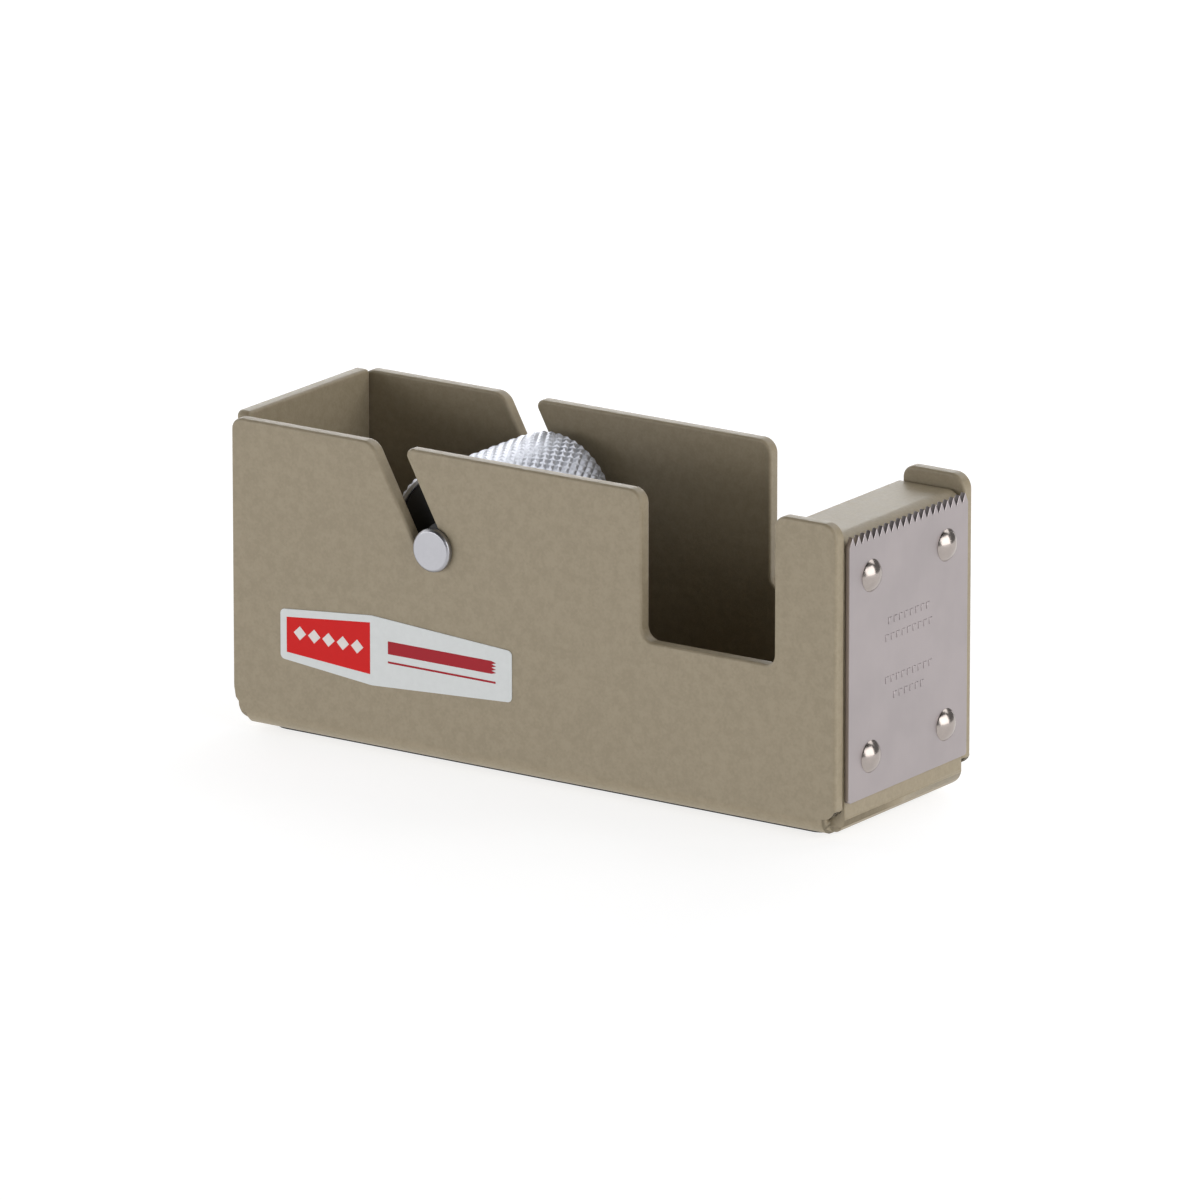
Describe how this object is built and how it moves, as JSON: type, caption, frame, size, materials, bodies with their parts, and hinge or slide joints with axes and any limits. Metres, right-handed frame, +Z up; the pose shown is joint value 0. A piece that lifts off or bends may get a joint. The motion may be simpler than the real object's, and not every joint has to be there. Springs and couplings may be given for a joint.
{
  "type": "tape dispenser",
  "caption": "Small steel desk tape dispenser: an open folded tray with a riveted toothed blade at the front and a knurled roll hub on an axle that lifts out of slanted slots.",
  "frame": {"origin": "middle of the object's footprint, on the surface it stands on", "axes": "+X towards the toothed blade, -Y the side with the label, +Z up"},
  "size_m": [0.123, 0.0428, 0.054],
  "materials": {
    "body_paint": "fine textured semi-matt khaki baked enamel",
    "blade_nickel": "satin nickel plate",
    "rivet_nickel": "bright nickel plate",
    "axle_steel": "satin turned steel",
    "hub_aluminium": "bright knurled aluminium",
    "bush_plastic": "black nylon",
    "pad_rubber": "matt black non-slip sheet",
    "label_vinyl": "printed vinyl, pale grey-white with a red panel"
  },
  "bodies": {
    "body": {"body_shell": "body_paint", "base_pad": "pad_rubber", "side_label": "label_vinyl", "blade_plate": "blade_nickel", "blade_rivet_near_low": "rivet_nickel", "blade_rivet_far_low": "rivet_nickel", "blade_rivet_near_high": "rivet_nickel", "blade_rivet_far_high": "rivet_nickel"},
    "axle": {"axle_rod": "axle_steel", "axle_cap_near": "axle_steel", "axle_cap_far": "axle_steel", "spacer_ring_near": "bush_plastic", "spacer_ring_far": "bush_plastic"},
    "hub": {"hub_drum": "hub_aluminium", "hub_bush_near": "bush_plastic", "hub_bush_far": "bush_plastic"}
  },
  "joints": [
    {"name": "axle_lift", "type": "slide", "parent": "body", "child": "axle", "axis": [-0.4756, 0, 0.8796], "range_m": [0, 0.05]},
    {"name": "hub_spin", "type": "hinge", "parent": "axle", "child": "hub", "pos_m": [-0.0197, 0, 0.03732], "axis": [0, 1, 0], "continuous": true}
  ]
}
